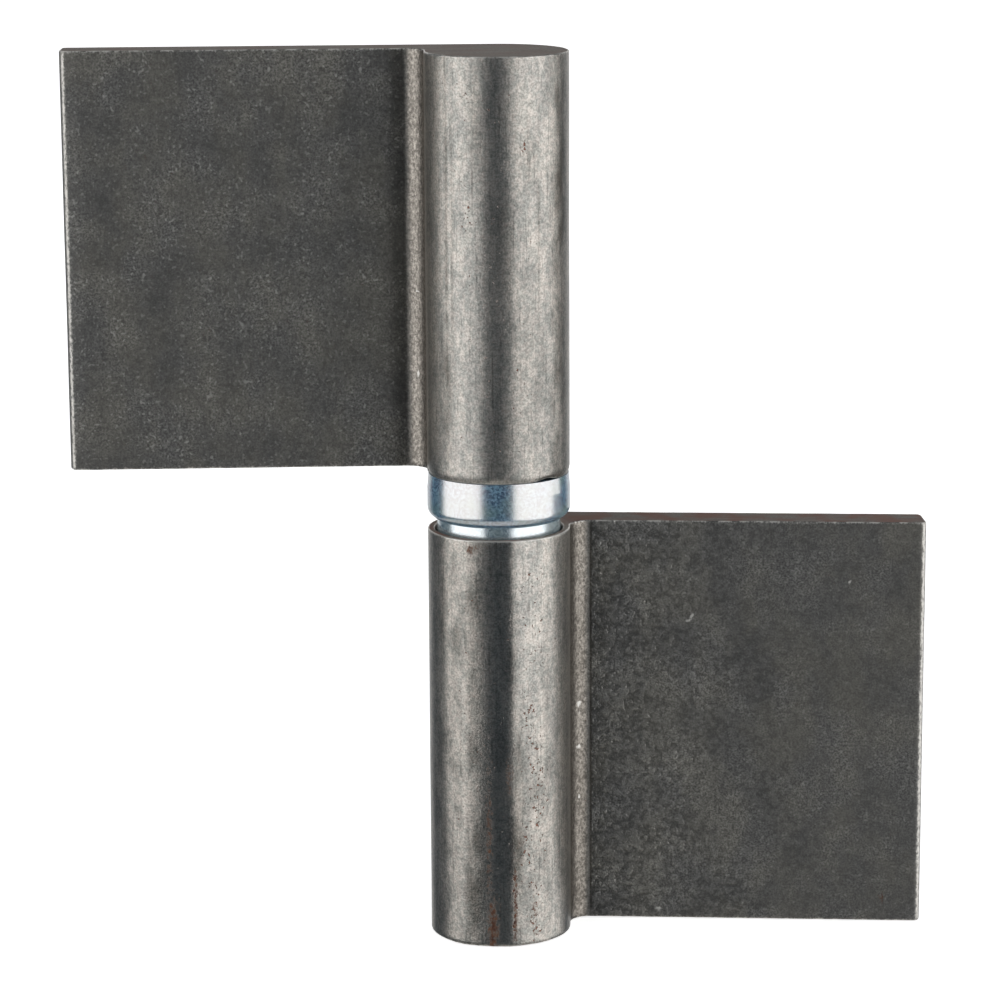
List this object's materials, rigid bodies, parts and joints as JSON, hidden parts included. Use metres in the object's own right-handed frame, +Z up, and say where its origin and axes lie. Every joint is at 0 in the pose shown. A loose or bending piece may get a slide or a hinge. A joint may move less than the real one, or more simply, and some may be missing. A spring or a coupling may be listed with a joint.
{
  "type": "lift off hinge",
  "caption": "Weld-on steel lift-off hinge: two barrel-and-leaf halves on a fixed pin with a plated thrust ball bearing between them; the upper half swings and lifts off.",
  "frame": {"origin": "on the pin axis, at the bottom end of the lower barrel", "axes": "+Z up along the pin towards the upper half, +X along the lower leaf, +Y towards the back of the barrel, where the leaves are welded on"},
  "size_m": [0.1357, 0.0225, 0.1409],
  "materials": {
    "raw_steel": "raw steel, mill scale on the leaves and drawn barrels with light rust",
    "pin_steel": "satin",
    "zinc_plate": "bright zinc plate with a blue passivation",
    "cage_brass": "satin",
    "ball_steel": "polished"
  },
  "bodies": {
    "lower_half": {"lower_leaf": "raw_steel", "hinge_pin": "pin_steel", "bearing_base": "zinc_plate"},
    "cap": {"bearing_cap": "zinc_plate"},
    "upper_half": {"upper_leaf": "raw_steel"},
    "ball_row": {"ball_cage": "cage_brass", "ball_01": "ball_steel", "ball_02": "ball_steel", "ball_03": "ball_steel", "ball_04": "ball_steel", "ball_05": "ball_steel", "ball_06": "ball_steel", "ball_07": "ball_steel", "ball_08": "ball_steel", "ball_09": "ball_steel", "ball_10": "ball_steel", "ball_11": "ball_steel", "ball_12": "ball_steel", "ball_13": "ball_steel", "ball_14": "ball_steel"}
  },
  "joints": [
    {"name": "swing", "type": "hinge", "parent": "lower_half", "child": "cap", "pos_m": [0, 0, 0.0749], "axis": [0, 0, 1], "continuous": true},
    {"name": "lift_off", "type": "slide", "parent": "cap", "child": "upper_half", "axis": [0, 0, 1], "range_m": [0, 0.045]},
    {"name": "ball_row_turn", "type": "hinge", "parent": "lower_half", "child": "ball_row", "pos_m": [0, 0, 0.07115], "axis": [0, 0, 1], "continuous": true}
  ],
  "couplings": [
    {"joint": "ball_row_turn", "follows": "swing", "ratio": 0.5}
  ]
}
